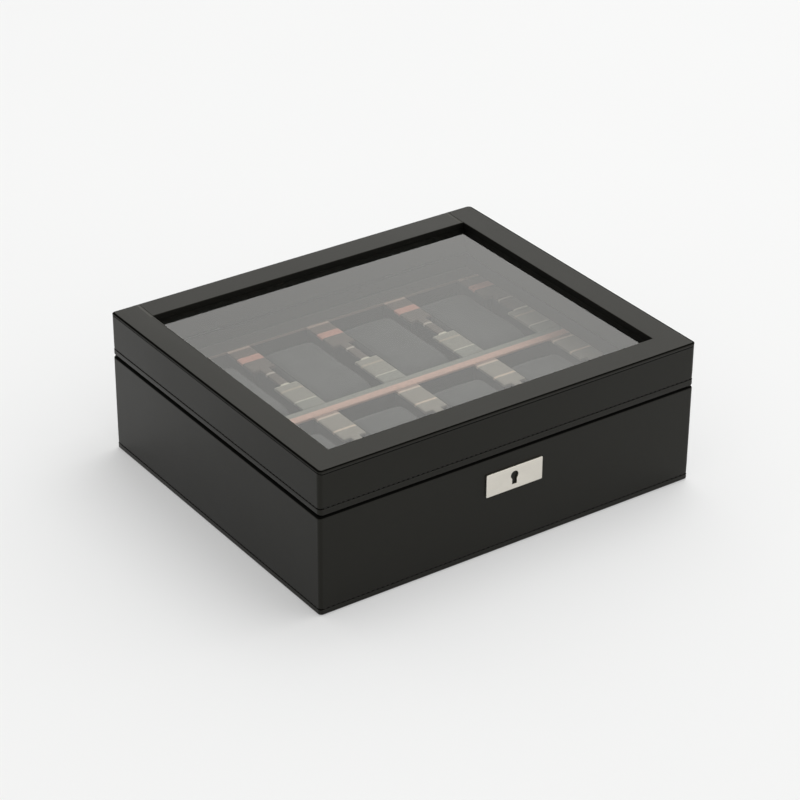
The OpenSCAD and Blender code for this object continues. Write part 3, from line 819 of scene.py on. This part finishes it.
def inflate(mesh, voxel, pressure, cap, frames=20):
    """Remeshes a form and blows it up as cloth, each point moving at most cap."""
    scene = bpy.context.scene
    obj = bpy.data.objects.new("inflating", mesh)
    scene.collection.objects.link(obj)
    bpy.context.view_layer.objects.active = obj
    remesh = obj.modifiers.new("remesh", "REMESH")
    remesh.mode = "VOXEL"
    remesh.voxel_size = voxel
    graph = bpy.context.evaluated_depsgraph_get()
    even = bpy.data.meshes.new_from_object(obj.evaluated_get(graph))
    obj.modifiers.clear()
    obj.data = even
    start = [v.co.copy() for v in even.vertices]
    cloth = obj.modifiers.new("cloth", "CLOTH")
    cloth.settings.use_pressure = True
    cloth.settings.uniform_pressure_force = pressure
    cloth.settings.effector_weights.gravity = 0.0
    cloth.settings.tension_stiffness = 25
    cloth.settings.compression_stiffness = 25
    cloth.settings.bending_stiffness = 1.2
    cloth.settings.mass = 0.15
    cloth.settings.quality = 6
    scene.frame_start, scene.frame_end = 1, frames
    for step in range(1, frames + 1):
        scene.frame_set(step)
    graph = bpy.context.evaluated_depsgraph_get()
    blown = [v.co.copy() for v in obj.evaluated_get(graph).data.vertices]
    obj.modifiers.clear()
    for vertex, a, b in zip(even.vertices, start, blown):
        move = b - a
        if move.length > cap:
            move = move.normalized() * cap
        vertex.co = a + move
    scene.frame_set(1)
    bpy.data.objects.remove(obj)
    return even


def fit_to(mesh, half):
    """Scales a mesh about its middle so that it fills plus or minus half."""
    lows = [min(v.co[i] for v in mesh.vertices) for i in range(3)]
    highs = [max(v.co[i] for v in mesh.vertices) for i in range(3)]
    for v in mesh.vertices:
        for i in range(3):
            t = (v.co[i] - lows[i]) / (highs[i] - lows[i])
            v.co[i] = (2 * t - 1) * half[i]


def subdivided(mesh, levels):
    obj = bpy.data.objects.new("subdividing", mesh)
    bpy.context.scene.collection.objects.link(obj)
    modifier = obj.modifiers.new("subdivision", "SUBSURF")
    modifier.levels = levels
    modifier.render_levels = levels
    graph = bpy.context.evaluated_depsgraph_get()
    fine = bpy.data.meshes.new_from_object(obj.evaluated_get(graph))
    bpy.data.objects.remove(obj)
    return fine


def press_seams(mesh, seam_x, width, depth):
    """Pulls the surface in along the two seams between the wrap and the gussets."""
    for v in mesh.vertices:
        off = (abs(v.co.x) - seam_x) / width
        pull = depth * math.exp(-off * off)
        radial = Vector((0, v.co.y, v.co.z))
        if radial.length > 1e-6:
            v.co -= radial.normalized() * pull


def piping(mesh, seam_x, radius, name, location, body):
    """A thin corded seam that follows the pillow's surface round at x = seam_x."""
    tree = BVHTree.FromPolygons([v.co for v in mesh.vertices],
                                [tuple(p.vertices) for p in mesh.polygons])
    vertices, faces = [], []
    around, steps = 8, 120
    for side in (-1, 1):
        x = side * seam_x
        centres = []
        for k in range(steps):
            a = 2 * math.pi * k / steps
            out = Vector((0, math.cos(a) * 2.0, math.sin(a))).normalized()
            hit = tree.ray_cast(Vector((x, 0, 0)) + out * 0.2, -out, 0.2)[0]
            centres.append(hit)
        base = len(vertices)
        for k in range(steps):
            tangent = (centres[(k + 1) % steps] - centres[k - 1]).normalized()
            sideways = Vector((1, 0, 0))
            up = tangent.cross(sideways).normalized()
            for m in range(around):
                b = 2 * math.pi * m / around
                vertices.append(centres[k] + (sideways * math.cos(b) + up * math.sin(b)) * radius)
        for k in range(steps):
            n = (k + 1) % steps
            for m in range(around):
                p = (m + 1) % around
                faces.append((base + k * around + m, base + k * around + p,
                              base + n * around + p, base + n * around + m))
    vertices = [v + location for v in vertices]
    obj = make_object(name, vertices, faces, pillow_suede, body, "pillow_suede", sharp=None)
    outward(obj)
    return obj


def pillows():
    """Eight pillows: one is simulated, and the others are the same form, turned about."""
    low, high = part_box("front_pillow_1")
    half = (high - low) / 2
    small = half - Vector((1.2, 1.6, 1.4)) * MM
    cage = pillow_cage(small, 14 * MM, 0.6 * MM)
    blown = inflate(cage, 2.4 * MM, 3.5, 3.5 * MM)
    fit_to(blown, half - Vector((0.25, 0.25, 0.25)) * MM)
    form = subdivided(blown, 1)
    seam_x = half.x - 3.4 * MM
    press_seams(form, seam_x, 1.1 * MM, 0.55 * MM)
    for row in ("front", "rear"):
        for i in (1, 2, 3, 4):
            name = f"{row}_pillow_{i}"
            low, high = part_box(name)
            centre = (low + high) / 2
            mesh = form.copy()
            turn = [(1, 1), (-1, 1), (1, -1), (-1, -1)][(i + (row == "rear")) % 4]
            mesh.transform(Matrix.Diagonal((turn[0], turn[1], 1, 1)))
            if turn[0] * turn[1] < 0:
                mesh.flip_normals()
            wobble(mesh, Vector((i * 0.37, (row == "rear") * 0.71, 0.0)))
            local = mesh.copy()
            mesh.transform(Matrix.Translation(centre))
            obj = place(name + "_cushion", mesh, pillow_suede, name, "pillow_suede", sharp=None)
            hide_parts(name)
            piping(local, seam_x, 0.42 * MM, name + "_seams", centre, name)
            bpy.data.meshes.remove(local)


def wobble(mesh, seed):
    """Slight dents that make each pillow its own."""
    for v in mesh.vertices:
        amount = noise.noise(v.co * 55.0 + seed * 10.0)
        out = v.co.normalized()
        v.co -= out * max(0.0, amount) * 0.5 * MM


# ---- Lock plate ----

def lock_plate():
    """The escutcheon: a plate with softened edges and a keyhole, made as a filled curve."""
    curve = bpy.data.curves.new("lock_plate_outline", "CURVE")
    curve.dimensions = "2D"
    curve.fill_mode = "BOTH"
    bevel = 0.28 * MM
    centre = (PLATE_LO + PLATE_HI) / 2
    half = (PLATE_HI - PLATE_LO) / 2
    outer = rounded_rectangle(half.x - bevel, half.z - bevel, 0.35 * MM, 4)
    key_z = KEY_Z - centre.z
    key_r, slot, drop = KEY_R + bevel, KEY_SLOT + bevel, KEY_DROP + bevel
    start = math.degrees(math.asin(slot / key_r))
    hole = arc((0, key_z), key_r, 270 + start, 270 - start + 360, 40)
    hole += [(-slot, key_z - drop), (slot, key_z - drop)]
    for points in (outer, hole):
        spline = curve.splines.new("POLY")
        spline.points.add(len(points) - 1)
        for point, (x, y) in zip(spline.points, points):
            point.co = (x, y, 0, 1)
        spline.use_cyclic_u = True
    curve.extrude = half.y - bevel
    curve.bevel_depth = bevel
    curve.bevel_resolution = 3
    source = bpy.data.objects.new("lock_plate_curve", curve)
    bpy.context.scene.collection.objects.link(source)
    graph = bpy.context.evaluated_depsgraph_get()
    mesh = bpy.data.meshes.new_from_object(source.evaluated_get(graph))
    bpy.data.objects.remove(source)
    mesh.transform(Matrix.Translation(centre) @ Matrix.Rotation(math.pi / 2, 4, "X"))
    bm = bmesh.new()
    bm.from_mesh(mesh)
    bmesh.ops.remove_doubles(bm, verts=bm.verts, dist=1e-6)
    bmesh.ops.recalc_face_normals(bm, faces=bm.faces)
    bm.to_mesh(mesh)
    bm.free()
    mesh.materials.clear()
    obj = place("lock_plate_polished", mesh, nickel, "base", "satin_nickel", sharp=50.0)
    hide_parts("lock_plate")


base_leather()
lid_leather()
tray()
pillows()
lock_plate()


# ---- Studio ----

def sky():
    """A white studio, dim at the horizon and brighter towards the right and the back."""
    world = bpy.data.worlds.new("studio")
    bpy.context.scene.world = world
    world.use_nodes = True
    tree = world.node_tree
    way = tree.nodes.new("ShaderNodeSeparateXYZ")
    tree.links.new(tree.nodes.new("ShaderNodeTexCoord").outputs["Generated"], way.inputs[0])
    turned = tree.nodes.new("ShaderNodeVectorMath")
    turned.operation = "DOT_PRODUCT"
    turned.inputs[1].default_value = (0.985, 0.17, 0.0)
    tree.links.new(way.inputs[0].links[0].from_socket, turned.inputs[0])
    rise = tree.nodes.new("ShaderNodeMapRange")
    side = tree.nodes.new("ShaderNodeMapRange")
    strength = tree.nodes.new("ShaderNodeMath")
    strength.operation = "MULTIPLY"
    for node, source, values in ((rise, way.outputs["Z"], (0.0, 0.30, 0.35, 1.0)),
                                 (side, turned.outputs["Value"], (-0.6, 1.0, 0.50, 1.62))):
        tree.links.new(source, node.inputs["Value"])
        for socket, value in zip(("From Min", "From Max", "To Min", "To Max"), values):
            node.inputs[socket].default_value = value
    tree.links.new(rise.outputs[0], strength.inputs[0])
    tree.links.new(side.outputs[0], strength.inputs[1])
    background = tree.nodes["Background"]
    background.inputs["Color"].default_value = (1.0, 0.995, 0.965, 1)
    tree.links.new(strength.outputs[0], background.inputs["Strength"])


def studio():
    sky()
    bm = bmesh.new()
    bmesh.ops.create_grid(bm, x_segments=2, y_segments=2, size=30.0)
    mesh = bpy.data.meshes.new("floor")
    bm.to_mesh(mesh)
    bm.free()
    mesh.materials.append(floor_material())
    floor = bpy.data.objects.new("floor", mesh)
    bpy.context.scene.collection.objects.link(floor)
    area_light("overhead", (0.8, 0.2, 2.4), 1.6, 14.0)


def area_light(name, location, size, power):
    light = bpy.data.lights.new(name, "AREA")
    light.shape = "SQUARE"
    light.size = size
    light.energy = power
    obj = bpy.data.objects.new(name, light)
    obj.location = location
    obj.rotation_euler = (-Vector(location)).to_track_quat("-Z", "Y").to_euler()
    bpy.context.scene.collection.objects.link(obj)


def camera():
    """At the front left, 29 degrees up, with a long lens."""
    azimuth, elevation, roll = (math.radians(a) for a in (-34.952, 29.396, 0.372))
    target = Vector((0.04338, 0.06251, 0.0))
    distance = 1.7247
    back = Vector((math.sin(azimuth) * math.cos(elevation),
                   -math.cos(azimuth) * math.cos(elevation), math.sin(elevation)))
    data = bpy.data.cameras.new("camera")
    data.sensor_width = 36.0
    data.lens = 125.08
    data.clip_end = 100.0
    obj = bpy.data.objects.new("camera", data)
    turn = (-back).to_track_quat("-Z", "Y").to_matrix() @ Matrix.Rotation(roll, 3, "Z")
    obj.matrix_world = Matrix.Translation(target + back * distance) @ turn.to_4x4()
    bpy.context.scene.collection.objects.link(obj)
    bpy.context.scene.camera = obj


studio()
camera()
bpy.context.scene.view_settings.view_transform = "Standard"
